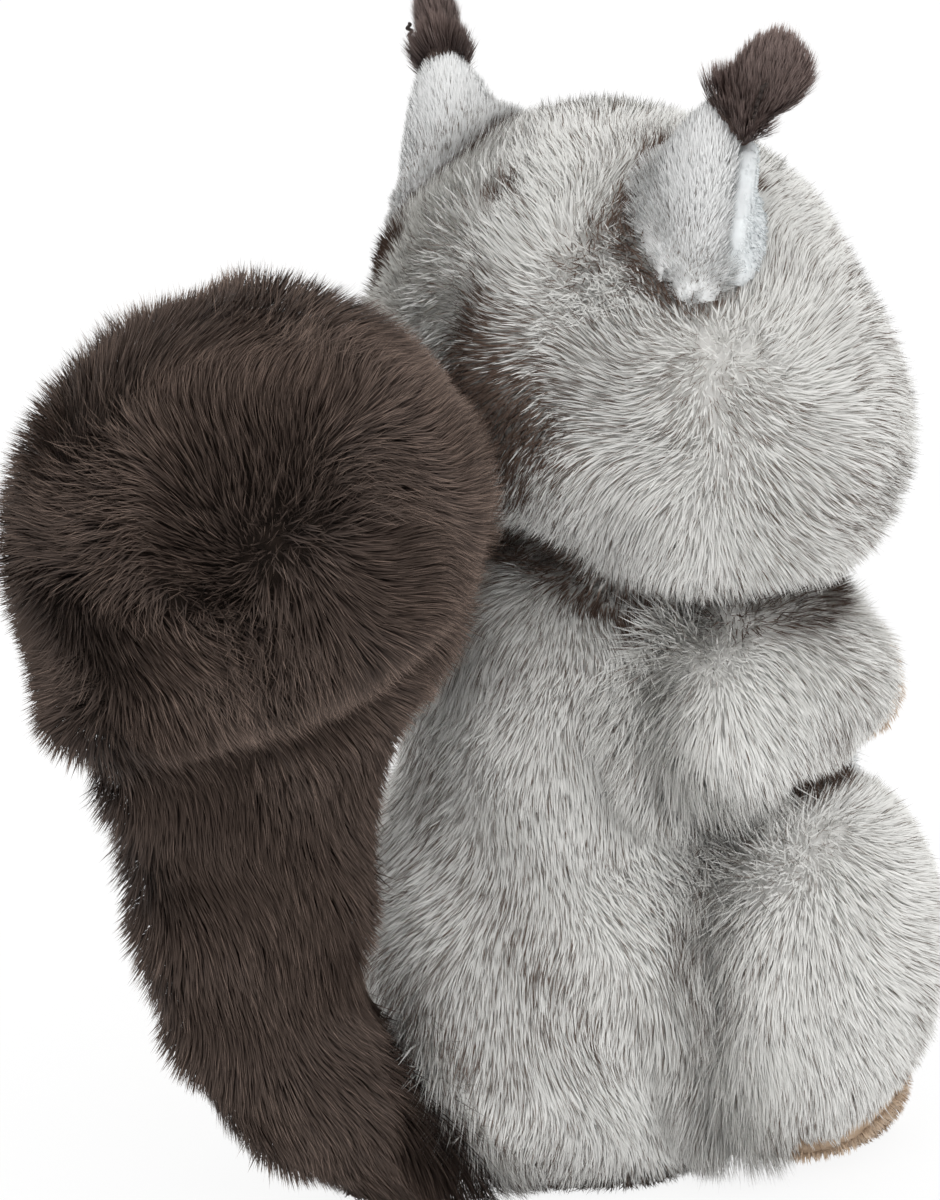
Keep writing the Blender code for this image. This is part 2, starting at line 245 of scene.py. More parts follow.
@dataclass
class Coat:
    """How one node is dressed."""

    slot: str
    look: str

    # The pile's length, the number of its strands, their width, and how much shorter some of them are
    pile: float
    strands: int
    width: float = 0.00042
    uneven: float = 0.18

    # The skin: the size of its facets, how deep it sits as a share of the pile, and how firmly it is filled
    voxel: float = 0.004
    depth_share: float = 0.5
    fill: float = 0.9

    # Which way strands lean: combed, away from whorls, in swirls, and raised
    comb: tuple = (0, 0, -0.5)
    whorls: tuple = ()
    spread: float = 0.8
    swirl: float = 0.35
    rise: tuple = (0, 0, 0)

    # How unruly strands are, how their tips fall, and how strongly locks of so many are drawn together
    jitter: float = 0.13
    droop: float = 0.15
    lock: int = 9
    pull: float = 0.12

    # The share of brown-tipped strands all over, how much of the rest of them shows, and dark streaks
    brown: float = 0.14
    patchiness: float = 1
    streaks: tuple = ()

    # How much strands shade like the skin under them
    smooth: float = 0.5


def short_plush(look, pile, strands, **how):
    return Coat(look + "_plush", look, pile, strands, width=0.00035, lock=6, swirl=0.2, **how)


COATS = {
    "body": Coat("frosted_pile", "frosted", 0.0085, 76000, comb=(0, 0, -1.1), swirl=0.5, brown=0.11),
    "head": Coat(
        "frosted_pile", "frosted", 0.0085, 92000, comb=(0, 0.1, -0.05), swirl=0.5, smooth=0.38,
        whorls=on_both_sides("head", 0.12, 0.74, 0.44), spread=1.0,
        streaks=[
            (place_in("head", 0.30, 0.69, 0.90), place_in("head", 0.30, 0.85, 0.74)),
            (place_in("head", 0.44, 0.83, 0.90), place_in("head", 0.48, 0.86, 0.84)),
            (place_in("head", 0.05, 0.38, 0.62), place_in("head", 0.03, 0.45, 0.52)),
            (place_in("head", 0.11, 0.28, 0.80), place_in("head", 0.04, 0.30, 0.62)),
            (place_in("head", 0.80, 0.80, 0.60), place_in("head", 0.70, 0.86, 0.72)),
        ],
    ),
    "tail": Coat(
        "brown_pile", "brown", 0.0115, 96000, width=0.0004, voxel=0.003, comb=(0, 0, -0.1),
        whorls=on_both_sides("tail", 0.04, 0.68, 0.76) + [place_in("tail", 0.5, 1.0, 0.68)],
        spread=1.1, swirl=0.6, pull=0.2, smooth=0.3,
    ),
    "belly_panel": short_plush("white", 0.003, 9000, voxel=0.002),
    "muzzle": short_plush("white", 0.003, 7000, voxel=0.0015, comb=(0, 0.5, 0)),
}
for each_side, each_sign in SIDES.items():
    arm, thigh, ear, tuft = (kind + "_" + each_side for kind in ("arm", "thigh", "ear", "ear_tuft"))
    COATS[arm] = Coat(
        "frosted_pile", "frosted", 0.0085, 20000, voxel=0.003, comb=(0, -0.35, -1.15), brown=0.10,
    )
    COATS[thigh] = Coat(
        "frosted_pile", "frosted", 0.0085, 24000, voxel=0.003, comb=(0, 0, -0.1), brown=0.10,
        whorls=[place_in(thigh, on_side(each_side, 0.35), 0.81, 0.84)], spread=1.0,
        streaks=[(
            place_in(thigh, on_side(each_side, 0.2), 0.12, 0.85),
            place_in(thigh, on_side(each_side, 0.05), 0.06, 0.45),
        )],
    )
    COATS[ear] = Coat(
        "frosted_pile", "ear", 0.0045, 11000, width=0.00036, voxel=0.002, depth_share=0.45,
        comb=(0, 0, 0.9), swirl=0.25, brown=0.02, patchiness=0.05, rise=(0, 0, 0.5), smooth=0.6,
    )
    COATS["ear_lining_" + each_side] = short_plush("white", 0.0012, 2000, voxel=0.0012)
    COATS["foot_" + each_side] = short_plush("beige", 0.0035, 7000, voxel=0.002)
    COATS["paw_" + each_side] = short_plush("beige", 0.003, 3500, voxel=0.0015)
    COATS[tuft] = Coat(
        "brown_pile", "tuft", 0.009, 7000, width=0.00034, voxel=0.0015, depth_share=0.35, comb=(0, 0, 0),
        whorls=[place_in(tuft, on_side(each_side, 0.85), 0.5, -0.9)], spread=1.4, swirl=0.2, droop=0,
        jitter=0.2, lock=14, pull=0.5, uneven=0.35, rise=(each_sign * 0.5, 0, 1.3),
    )

NAPE_AT = place_in("head", 0.42, 0.97, 0.40)


def unit(vectors):
    return vectors / np.maximum(np.linalg.norm(vectors, axis=-1, keepdims=True), TINY)


def soft_step(low, high, values):
    """Runs smoothly from 0 at low to 1 at high."""
    share = np.clip((values - low) / (high - low), 0, 1)
    return share * share * (3 - 2 * share)


def mottling(points, patch, rng):
    """Smooth random patches of about the given size, from -1 to 1."""
    waves = unit(rng.normal(size=(WAVES, 3))) * rng.uniform(*WAVE_RANGE, (WAVES, 1)) * math.pi / patch
    phases = rng.uniform(0, 2 * math.pi, WAVES)
    return np.tanh(np.sin(points @ waves.T + phases).sum(1) / WAVE_SUM_SCALE)


def along_skin(vectors, normals):
    """The vectors' parts that lie along the skin."""
    return vectors - normals * (vectors * normals).sum(1, keepdims=True)


# Meshes

def arrays_of(mesh):
    """A mesh's points and its triangles' corners."""
    mesh.calc_loop_triangles()
    points = np.empty(len(mesh.vertices) * 3, np.float32)
    mesh.vertices.foreach_get("co", points)
    faces = np.empty(len(mesh.loop_triangles) * 3, np.int32)
    mesh.loop_triangles.foreach_get("vertices", faces)
    return points.reshape(-1, 3).astype(float), faces.reshape(-1, 3)


def edges_of(mesh):
    """The two points of each of a mesh's edges."""
    edges = np.empty(len(mesh.edges) * 2, np.int32)
    mesh.edges.foreach_get("vertices", edges)
    return edges.reshape(-1, 2)


def face_crosses(points, faces):
    """Each triangle's normal, as long as twice its area."""
    corners = points[faces]
    return np.cross(corners[:, 1] - corners[:, 0], corners[:, 2] - corners[:, 0])


def point_normals(points, faces):
    crossed = face_crosses(points, faces)
    normals = np.zeros_like(points)
    for corner in range(3):
        np.add.at(normals, faces[:, corner], crossed)
    return unit(normals)


def search_tree(points, faces):
    return BVHTree.FromPolygons(points.tolist(), faces.tolist())


def blurred(values, edges, steps):
    """Each point's value drawn towards the mean of its neighbours', a few times over."""
    count = np.bincount(edges.ravel(), minlength=len(values)).astype(float)
    count = count.reshape((-1,) + (1,) * (values.ndim - 1))
    for _ in range(steps):
        total = np.zeros_like(values)
        np.add.at(total, edges[:, 0], values[edges[:, 1]])
        np.add.at(total, edges[:, 1], values[edges[:, 0]])
        values = (values + total / count) / 2
    return values


def new_object(name, data):
    obj = bpy.data.objects.new(name, data)
    bpy.context.scene.collection.objects.link(obj)
    return obj


class Neighbours:
    """Some of the solids as one search tree, which also says whose surface is nearest."""

    def __init__(self, names):
        self.names = names
        self.starts = []
        points, faces, start = [], [], 0
        for name in names:
            their_points, their_faces = arrays_of(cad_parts[name].data)
            self.starts.append(sum(map(len, faces)))
            points.append(their_points)
            faces.append(their_faces + start)
            start += len(their_points)
        self.tree = search_tree(np.concatenate(points), np.concatenate(faces))

    def nearest(self, places):
        """For each place: the distance to the nearest surface, which way it faces, and its node's name."""
        found = [self.tree.find_nearest(place) for place in places.tolist()]
        distances = np.array([hit[3] for hit in found])
        facings = np.array([tuple(hit[1]) for hit in found])
        owners = np.searchsorted(self.starts, [hit[2] for hit in found], side="right") - 1
        return distances, facings, [self.names[owner] for owner in owners]


def depth_of(name):
    """How deep the node's skin sits under its pile."""
    return COATS[name].pile * COATS[name].depth_share


def sculpt_curl(mesh):
    """Presses the tail's skin in along the curl's crease and swells it just above."""
    points, faces = arrays_of(mesh)
    normals = point_normals(points, faces)
    above = points[:, 2] - CURL_AT[1] + CURL_SLOPE * (points[:, 1] - CURL_AT[0])
    above /= math.hypot(1, CURL_SLOPE)
    pinch = CURL_PINCH * np.exp(-(above / CURL_PINCH_REACH) ** 2)
    swell = CURL_SWELL * np.exp(-((above - CURL_SWELL_AT) / CURL_SWELL_REACH) ** 2)
    behind = soft_step(CURL_AT[0] - CURL_SWELL_REACH, CURL_AT[0] + CURL_SWELL_REACH, points[:, 1])
    points += normals * ((swell - pinch) * behind)[:, None]
    mesh.vertices.foreach_set("co", points.astype(np.float32).ravel())
    mesh.update()


def remeshed(name, voxel):
    """A copy of the node's solid with even facets."""
    obj = new_object(name + "_skin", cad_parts[name].data.copy())
    remesh = obj.modifiers.new("remesh", "REMESH")
    remesh.mode = "VOXEL"
    remesh.voxel_size = voxel
    remesh.use_smooth_shade = True
    graph = bpy.context.evaluated_depsgraph_get()
    obj.data = bpy.data.meshes.new_from_object(obj.evaluated_get(graph))
    obj.modifiers.clear()
    obj.data.materials.clear()
    return obj


def thickness_under(points, faces):
    """How thick a piece is under each of its points."""
    tree = search_tree(points, faces)
    thickness = []
    for point, normal in zip(points.tolist(), point_normals(points, faces).tolist()):
        inwards = -Vector(normal)
        thickness.append(tree.ray_cast(Vector(point) + inwards * CONTACT, inwards)[3] or CONTACT)
    return np.array(thickness)


class Skin:
    """A node's sewn skin: its solid drawn in by the depth of its pile, and sewn to those that carry it."""

    def __init__(self, name, coat):
        self.name = name
        self.obj = remeshed(name, coat.voxel)
        if name == "tail":
            sculpt_curl(self.obj.data)
        points, self.faces = arrays_of(self.obj.data)
        edges = edges_of(self.obj.data)
        self.meet_neighbours(points)
        deepest = thickness_under(points, self.faces) * THICKNESS_SHARE
        depth = blurred(np.minimum(depth_of(name), deepest), edges, DEPTH_SMOOTHING)
        self.fullness = np.clip(depth / depth.max(), SHORTEST, 1)
        depth *= 1 - self.blend
        off_ground = soft_step(CONTACT, OPEN, points[:, 2])
        shift = blurred(self.reach - depth * self.freedom, edges, SHIFT_SMOOTHING)
        softened = blurred(points, edges, SHAPE_SMOOTHING)
        points += (softened - points) * (self.freedom * off_ground)[:, None]
        self.normals = unit(blurred(point_normals(points, self.faces), edges, FACING_SMOOTHING))
        moves = self.normals * shift[:, None]
        moves[:, 2] *= off_ground
        points += moves
        self.points = points
        self.obj.data.vertices.foreach_set("co", points.astype(np.float32).ravel())
        self.obj.data.update()

    def meet_neighbours(self, points):
        """Where other pieces come near, and how far this one reaches down to the skins that carry it."""
        own_kind = kind_of(self.name)
        others = Neighbours([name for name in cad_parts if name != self.name])
        self.gap, self.away, nearest = others.nearest(points)
        blends = [kind_of(name) in BLENDS.get(own_kind, ()) for name in nearest]
        self.blend = (1 - soft_step(0, BLEND_REACH, self.gap)) * blends
        # Brown tips along the seams, partly painted shade in the crease between pieces
        at_seams = SEAM_TIPS_AND_SHADE.get(own_kind, {})
        seam_shares = [at_seams.get(kind_of(name), 0) for name in nearest]
        self.seam = (1 - soft_step(*SEAM_REACH, self.gap)) * seam_shares
        carriers = [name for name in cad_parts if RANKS[kind_of(name)] < RANKS[own_kind]]
        if carriers:
            gap, _, owners = Neighbours(carriers).nearest(points)
            self.freedom = soft_step(CONTACT, OPEN, gap)
            self.reach = (1 - self.freedom) * [depth_of(name) for name in owners]
        else:
            self.freedom = np.ones(len(points))
            self.reach = np.zeros(len(points))

    def scatter(self, count, weights, rng):
        """Random places on the skin, as a reader of any field that is known at its points."""
        areas = np.linalg.norm(face_crosses(self.points, self.faces), axis=1)
        chance = areas * weights[self.faces].mean(1)
        picked = self.faces[rng.choice(len(self.faces), count, p=chance / chance.sum())]
        out = np.sqrt(rng.random(count))
        along = rng.random(count)
        shares = np.stack([1 - out, out * (1 - along), out * along], 1)

        def read(field):
            values = field[picked]
            return (values * shares.reshape(shares.shape + (1,) * (values.ndim - 2))).sum(1)

        return read


# Strands

def nearest_guides(roots, guides):
    """For each root, the index of the nearest guide."""
    tree = KDTree(len(guides))
    for index, guide in enumerate(guides):
        tree.insert(roots[guide], index)
    tree.balance()
    return guides[[tree.find(root)[1] for root in roots.tolist()]]


def lie_of(coat, roots, normals, rng):
    """Which way the strands lean along the skin: combed, away from the whorls, with gentle swirls."""
    lie = np.tile(np.array(coat.comb, float), (len(roots), 1))
    lie += coat.swirl * np.stack([mottling(roots, SWIRL_SIZE, rng) for _ in range(3)], 1)
    total = 0
    outward = np.zeros_like(roots)
    for whorl in coat.whorls:
        offset = along_skin(roots - whorl, normals)
        distance = np.linalg.norm(roots - whorl, axis=1)
        weight = 1 / (distance**2 + WHORL_CORE**2)
        outward += unit(offset) * (weight * soft_step(0, WHORL_REACH, distance))[:, None]
        total = total + weight
    if coat.whorls:
        lie += coat.spread * outward / total[:, None]
    return along_skin(lie, normals)


def near_streaks(coat, points):
    """How near each point is to one of the coat's streaks, from 0 to 1."""
    nearness = np.zeros(len(points))
    for start, end in coat.streaks:
        share = np.clip((points - start) @ (end - start) / ((end - start) @ (end - start)), 0, 1)
        distance = np.linalg.norm(points - start - share[:, None] * (end - start), axis=1)
        nearness = np.maximum(nearness, 1 - soft_step(*STREAK_REACH, distance))
    return nearness


def brown_and_shade_share(coat, points, seam, rng):
    """The share of strands with brown tips, place by place, partly painted shade at seams, nape and back."""
    patches = np.maximum(mottling(points, PATCH_SIZE, rng), 0)
    patches *= FACE_PATCH_SHARE + MORE_PATCHES_BEHIND * soft_step(*FACE_REACH, points[:, 1])
    # The nape and the back by the tail: brown tips, partly painted shade where the tail presses on them
    nape = (1 - soft_step(*NAPE_REACH, np.linalg.norm(points - NAPE_AT, axis=1))) * NAPE_TIPS_AND_SHADE
    back = soft_step(*BACK_REACH, points[:, 1]) * BACK_TIPS_AND_SHADE
    hem = (1 - soft_step(*HEM_REACH, points[:, 2])) * HEM_SHARE
    streaks = STREAK_SHARE * near_streaks(coat, points)
    return coat.brown + seam + (patches + nape + back + hem + streaks) * coat.patchiness


def strand_shades(coat, roots, seam, rng):
    """Each strand's shade, and how wide a tipped strand would be there, as a share of a plain one."""
    count = len(roots)
    if coat.look in ("frosted", "ear"):
        chance = rng.random(count)
        share = brown_and_shade_share(coat, roots, seam, rng)
        plain = rng.random(count) * (TIPPED_FROM - TIPPED_MARGIN)
        tipped = TIPPED_FROM + TIPPED_MARGIN + rng.random(count) * (1 - TIPPED_MARGIN - TIPPED_FROM)
        tipped_width = TIPPED_THINNESS + (1 - TIPPED_THINNESS) * soft_step(*BAND_FROM, share)
        return np.where(chance < share, tipped, plain), tipped_width
    shades = rng.random(count) + SHADE_MOTTLING * mottling(roots, SHADE_PATCH_SIZE, rng)
    if coat.look == "brown":
        nearest = np.min([np.linalg.norm(roots - whorl, axis=1) for whorl in coat.whorls], axis=0)
        shades += TAIL_LIGHTENING - WHORL_DARKENING * (1 - soft_step(*DARK_REACH, nearest))
        # Painted shade: fewer light tips down the stem, under the lobe's curl
        shades -= STEM_PAINTED_SHADE * (1 - soft_step(*STEM_TOP, roots[:, 2]))
    return np.clip(shades, 0, 1), TIPPED_THINNESS


def grow(skin, coat, rng):
    """Each strand's root, middle and tip, which way its skin faces, its shade and its width."""
    count = coat.strands
    read = skin.scatter(count, soft_step(*GROWS_FROM, skin.gap), rng)
    roots = read(skin.points)
    normals = unit(read(skin.normals))
    blend = read(skin.blend)
    parting = (1 - soft_step(0, CREASE, read(skin.gap))) * CREASE_PARTING + blend * BLEND_PARTING
    away = unit(read(skin.away)) * parting[:, None]
    lie = lie_of(coat, roots, normals, rng) * (1 - BLEND_STRAIGHTENING * blend)[:, None]
    shades, tipped_width = strand_shades(coat, roots, read(skin.seam), rng)
    is_plain = shades < TIPPED_FROM
    widths = coat.width * np.where(is_plain, 1, tipped_width)
    lengths = coat.pile * read(skin.fullness) * (LONGEST - coat.uneven * rng.random(count))
    lengths *= (1 + BLEND_LENGTHENING * blend) * np.where(is_plain, 1, TIPPED_LENGTHENING)
    restless = coat.jitter * (1 + RESTLESSNESS * np.clip(1 - np.linalg.norm(lie, axis=1), 0, 1))
    directions = unit(normals + lie + away + coat.rise + rng.normal(size=(count, 3)) * restless[:, None])
    middles = roots + directions * lengths[:, None] / 2
    fall = np.array((0, 0, -coat.droop))
    bend = rng.normal(0, coat.jitter * RANDOM_BEND, (count, 3))
    bent = unit(directions + lie * LIE_BEND + fall + bend)
    tips = middles + bent * lengths[:, None] / 2
    guides = rng.choice(count, count // coat.lock, replace=False)
    nearest = nearest_guides(roots, guides)
    pull = (coat.pull * (LEAST_PULL + (1 - LEAST_PULL) * rng.random(count)))[:, None]
    tips += (tips[nearest] - tips) * pull
    middles += (middles[nearest] - middles) * pull * MIDDLE_PULL
    lift = GROUND_CLEAR * (1 + rng.random(count))
    middles[:, 2] = np.maximum(middles[:, 2], lift)
    tips[:, 2] = np.maximum(tips[:, 2], lift)
    return roots, middles, tips, normals, shades, widths


def add_attribute(mesh, name, kind, part, values):
    """Gives each point of a mesh its value of a new attribute."""
    mesh.attributes.new(name, kind, "POINT").data.foreach_set(part, values.astype(np.float32).ravel())


def strands_mesh(name, coat, rng, roots, middles, tips, outward, shades, widths):
    """Thin strands, widest in their middle, two triangles each, that carry their shade and place along.

    They shade between the way their skin faces and the way opposite to their lean, so both sides get light.
    """
    count = len(roots)
    run = unit(tips - roots)
    across = unit(unit(np.cross(run, outward)) + TWIST * unit(np.cross(run, rng.normal(size=(count, 3)))))
    facing = np.cross(across, run)
    across *= np.where((facing * outward).sum(1) < 0, -1, 1)[:, None]
    shading = unit(outward * coat.smooth - along_skin(run, outward) * (1 - coat.smooth))
    half = across * (widths[:, None] / 2) * rng.uniform(*WIDTH_RANGE, (count, 1))
    points = np.stack([roots, middles - half, middles + half, tips], 1)
    corners = np.array([0, 2, 1, 1, 2, 3])
    mesh = bpy.data.meshes.new(name)
    mesh.vertices.add(points.size // 3)
    mesh.vertices.foreach_set("co", points.astype(np.float32).ravel())
    mesh.loops.add(count * len(corners))
    indices = corners + 4 * np.arange(count)[:, None]
    mesh.loops.foreach_set("vertex_index", indices.ravel().astype(np.int32))
    mesh.polygons.add(count * len(corners) // 3)
    mesh.polygons.foreach_set("loop_start", np.arange(0, count * len(corners), 3, dtype=np.int32))
    mesh.update(calc_edges=True)
    mesh.shade_smooth()
    along = np.array([0, 0.5, 0.5, 1])
    add_attribute(mesh, "custom_normal", "FLOAT_VECTOR", "vector", np.repeat(shading, 4, 0))
    add_attribute(mesh, "shade", "FLOAT", "value", np.repeat(shades, 4))
    add_attribute(mesh, "along", "FLOAT", "value", np.tile(along, count))
    side = np.array([0, -1, 1, 0])[corners]
    map_size = 1 - 2 * MAP_MARGIN
    across_map = MAP_MARGIN + map_size * shades[:, None] + MAP_HALF_WIDTH * side
    along_map = MAP_MARGIN + map_size * np.tile(along[corners], (count, 1))
    layer = mesh.uv_layers.new(name="OFBake")
    layer.uv.foreach_set("vector", np.stack([across_map, along_map], 2).astype(np.float32).ravel())
    return new_object(name, mesh)


# Materials

def principled(name, roughness, specular=0.3, coat=0.0):
    material = bpy.data.materials.new(name)
    material.use_nodes = True
    shader = material.node_tree.nodes["Principled BSDF"]
    shader.inputs["Roughness"].default_value = roughness
    shader.inputs["Specular IOR Level"].default_value = specular
    shader.inputs["Coat Weight"].default_value = coat
    return material, material.node_tree.nodes, material.node_tree.links, shader


def ramp(nodes, links, source, stops, stepped=False):
    """A colour ramp of (place, colour) stops, fed by a socket."""
    node = nodes.new("ShaderNodeValToRGB")
    node.color_ramp.interpolation = "CONSTANT" if stepped else "LINEAR"
    elements = node.color_ramp.elements
    while len(elements) < len(stops):
        elements.new(0.5)
    for element, (place, colour) in zip(elements, stops):
        element.position = place
        element.color = (*colour, 1)
    links.new(source, node.inputs["Fac"])
    return node.outputs["Color"]


def mixed(nodes, links, kind, factor, first, second):
    """A colour mix. The factor is a number or a socket."""
    node = nodes.new("ShaderNodeMix")
    node.data_type = "RGBA"
    node.blend_type = kind
    if isinstance(factor, (int, float)):
        node.inputs["Factor"].default_value = factor
    else:
        links.new(factor, node.inputs["Factor"])
    links.new(first, node.inputs["A"])
    links.new(second, node.inputs["B"])
    return node.outputs["Result"]


def attribute(nodes, name):
    """The mesh's attribute of that name, as a socket."""
    node = nodes.new("ShaderNodeAttribute")
    node.attribute_name = name
    return node.outputs["Fac"]


def pile_material(name, plain, tipped, roughness=0.75):
    """Strands coloured along their length, by one of two sets of stops that the strand's shade chooses."""
    material, nodes, links, shader = principled(name, roughness, specular=0.2)
    along = attribute(nodes, "along")
    shade = attribute(nodes, "shade")
    plain_colour = ramp(nodes, links, along, plain)
    tipped_colour = ramp(nodes, links, along, tipped)
    brightness = ramp(nodes, links, shade, [(place, (grey,) * 3) for place, grey in BRIGHTNESS])
    is_tipped = ramp(nodes, links, shade, [(0, (0, 0, 0)), (TIPPED_FROM, (1, 1, 1))], stepped=True)
    colour = mixed(nodes, links, "MIX", is_tipped, plain_colour, tipped_colour)
    colour = mixed(nodes, links, "MULTIPLY", 1.0, colour, brightness)
    links.new(colour, shader.inputs["Base Color"])
    return material


def grained_material(name, dark, light, scale=KNIT_SCALE, bump_depth=KNIT_DEPTH, **finish):
    """A surface with a fine grain in its colour and its relief, such as a knitted backing."""
    material, nodes, links, shader = principled(name, **finish)
    place = nodes.new("ShaderNodeTexCoord").outputs["Object"]
    grain = nodes.new("ShaderNodeTexNoise")
    grain.inputs["Scale"].default_value = scale
    links.new(place, grain.inputs["Vector"])
    stops = [(GRAIN_DARK_AT, dark), (GRAIN_LIGHT_AT, light)]
    links.new(ramp(nodes, links, grain.outputs["Fac"], stops), shader.inputs["Base Color"])
    bump = nodes.new("ShaderNodeBump")
    bump.inputs["Strength"].default_value = BUMP_STRENGTH
    bump.inputs["Distance"].default_value = bump_depth
    links.new(grain.outputs["Fac"], bump.inputs["Height"])
    links.new(bump.outputs["Normal"], shader.inputs["Normal"])
    return material


def backing_material(name, dark, light):
    return grained_material(name, dark, light, roughness=0.9, specular=0.1)


FROSTED_PALE = [(0, (0.78, 0.77, 0.745)), (0.5, (0.82, 0.815, 0.79)), (1, (0.85, 0.845, 0.82))]
FROSTED_BROWN = [(0.38, (0.76, 0.74, 0.71)), (0.60, (0.17, 0.115, 0.088)), (1, (0.060, 0.037, 0.029))]
EAR_PALE = [(0, (0.88, 0.88, 0.87)), (0.5, (0.91, 0.915, 0.91)), (1, (0.93, 0.935, 0.93))]
WHITE_PALE = [(0, (0.66, 0.68, 0.69)), (0.5, (0.78, 0.81, 0.82)), (1, (0.82, 0.86, 0.87))]
BEIGE_PALE = [(0, (0.40, 0.28, 0.19)), (0.5, (0.56, 0.42, 0.30)), (1, (0.68, 0.54, 0.42))]
TAIL_DARK = [(0, (0.030, 0.021, 0.017)), (0.6, (0.062, 0.043, 0.035)), (1, (0.125, 0.090, 0.073))]
TAIL_LIGHT = [(0, (0.030, 0.021, 0.017)), (0.5, (0.110, 0.076, 0.061)), (1, (0.44, 0.32, 0.26))]
TUFT_DARK = [(0, (0.075, 0.050, 0.045)), (0.6, (0.15, 0.107, 0.097)), (1, (0.34, 0.26, 0.235))]
TUFT_LIGHT = [(0, (0.075, 0.050, 0.045)), (0.5, (0.22, 0.16, 0.145)), (1, (0.58, 0.46, 0.42))]

PILES = {
    "frosted": pile_material("frosted_pile_strands", FROSTED_PALE, FROSTED_BROWN),
    "ear": pile_material("ear_pile_strands", EAR_PALE, FROSTED_BROWN),
    "white": pile_material("white_plush_strands", WHITE_PALE, WHITE_PALE, roughness=0.85),
    "beige": pile_material("beige_plush_strands", BEIGE_PALE, BEIGE_PALE, roughness=0.85),
    "brown": pile_material("brown_pile_strands", TAIL_DARK, TAIL_LIGHT, roughness=0.6),
    "tuft": pile_material("tuft_pile_strands", TUFT_DARK, TUFT_LIGHT, roughness=0.6),
}
BACKINGS = {
    "frosted": backing_material("frosted_backing", (0.76, 0.75, 0.73), (0.82, 0.81, 0.79)),
    "ear": backing_material("ear_backing", (0.88, 0.88, 0.88), (0.92, 0.93, 0.93)),
    "white": backing_material("white_backing", (0.70, 0.72, 0.73), (0.78, 0.81, 0.82)),
    "beige": backing_material("beige_backing", (0.40, 0.29, 0.20), (0.50, 0.38, 0.28)),
    "brown": backing_material("brown_backing", (0.014, 0.010, 0.008), (0.026, 0.018, 0.014)),
    "tuft": backing_material("tuft_backing", (0.060, 0.042, 0.036), (0.100, 0.072, 0.062)),
}
THREAD = grained_material(
    "dark_thread", (0.012, 0.008, 0.007), (0.05, 0.035, 0.03), scale=2500, bump_depth=0.0002, roughness=0.7,
)
PLASTIC = grained_material(
    "glossy_plastic", (0.010, 0.007, 0.006), (0.018, 0.011, 0.008), scale=90, bump_depth=0.00002,
    roughness=0.12, specular=0.5, coat=0.4,
)


# Pieces

def dress(name, coat):
    """Puts a skin and its coat of pile in a node's place."""
    rng = np.random.default_rng([SEED, sum(map(ord, name))])
    skin = Skin(name, coat)
    skin.obj.data.materials.append(BACKINGS[coat.look])
    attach(skin.obj, "root")
    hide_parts(name)
    fur = strands_mesh(name + "_pile", coat, rng, *grow(skin, coat, rng))
    fur.data.materials.append(PILES[coat.look])
    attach(fur, "root")


def thread(name, tuft, start, end):
    """A row of stitches over a tuft: one thread that rises out of the plush and dips back in."""
    solid = search_tree(*arrays_of(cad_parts[tuft].data))
    stitches = round((end - start).length / STITCH_LENGTH)
    curve = bpy.data.curves.new(name, "CURVE")
    curve.dimensions = "3D"
    curve.bevel_depth = THREAD_RADIUS
    curve.bevel_resolution = 2
    curve.use_fill_caps = True
    line = curve.splines.new("NURBS")
    steps = STEPS_IN_STITCH * stitches
    line.points.add(steps)
    for step in range(steps + 1):
        wave = THREAD_WAVE * math.sin(2 * math.pi * step / STEPS_IN_STITCH)
        height = THREAD_LIFT + THREAD_RADIUS * wave
        on_solid, outward = solid.find_nearest(start.lerp(end, step / steps))[:2]
        line.points[step].co = (*on_solid + outward * height, 1)
    line.use_endpoint_u = True
    curve.materials.append(THREAD)
    obj = new_object(name, curve)
    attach(obj, "root")


def button(name, rim_share=0, squareness=0, tilt=0, fills_box=False):
    """A glossy ball in its node's place, with a thin rim round its middle, facing away from the head."""
    low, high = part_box(name)
    middle = (low + high) / 2
    head_low, head_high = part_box("head")
    head_middle = (head_low + head_high) / 2
    outward = (middle - head_middle) * Vector((1, 1, tilt))
    radii = (high - low) / 2
    bm = bmesh.new()
    bmesh.ops.create_uvsphere(bm, u_segments=BALL_SEGMENTS, v_segments=BALL_RINGS, radius=1)
    turn = outward.to_track_quat("Z", "Y")
    for vert in bm.verts:
        rim = math.exp(-((vert.co.z - RIM_AT) / RIM_WIDTH) ** 2) * rim_share
        flare = 1 + rim + squareness * vert.co.x**2 * vert.co.y**2
        vert.co = Vector((vert.co.x * flare, vert.co.y * flare, vert.co.z))
    bmesh.ops.scale(bm, vec=Vector((1, 1, 1)) * min(radii), verts=bm.verts)
    if fills_box:
        widen = Vector((radii.x / min(radii), radii.z / min(radii), 1))
        bmesh.ops.scale(bm, vec=widen, verts=bm.verts)
    bmesh.ops.rotate(bm, verts=bm.verts, cent=(0, 0, 0), matrix=turn.to_matrix())
    bmesh.ops.translate(bm, verts=bm.verts, vec=middle)
    mesh = bpy.data.meshes.new(name + "_gloss")
    bm.to_mesh(mesh)
    bm.free()
    mesh.shade_smooth()
    mesh.materials.append(PLASTIC)
    obj = new_object(name + "_gloss", mesh)
    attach(obj, "root")
    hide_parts(name)


def stitch_tufts():
    """One row of stitches over each ear tuft, from its inner foot up to its middle."""
    for side, sign in SIDES.items():
        tuft = "ear_tuft_" + side
        aside = Vector((sign * STITCHES_ASIDE, STITCHES_ASIDE, 0))
        start, end = (
            Vector(place_in(tuft, on_side(side, across), back, up)) + aside
            for across, back, up in (STITCHES_START, STITCHES_END)
        )
        thread("ear_tuft_stitches_" + side, tuft, start, end)


for node_name, node_coat in COATS.items():
    dress(node_name, node_coat)
stitch_tufts()
for each_side in SIDES:
    button("eye_" + each_side, rim_share=0.06)
button("nose", squareness=0.35, tilt=0.3, fills_box=True)


# Stage

def direction(azimuth, elevation):
    """The way out from the squirrel at an azimuth round from its front and an elevation, in radians."""
    level = math.cos(elevation)
    return Vector((math.sin(azimuth) * level, -math.cos(azimuth) * level, math.sin(elevation)))


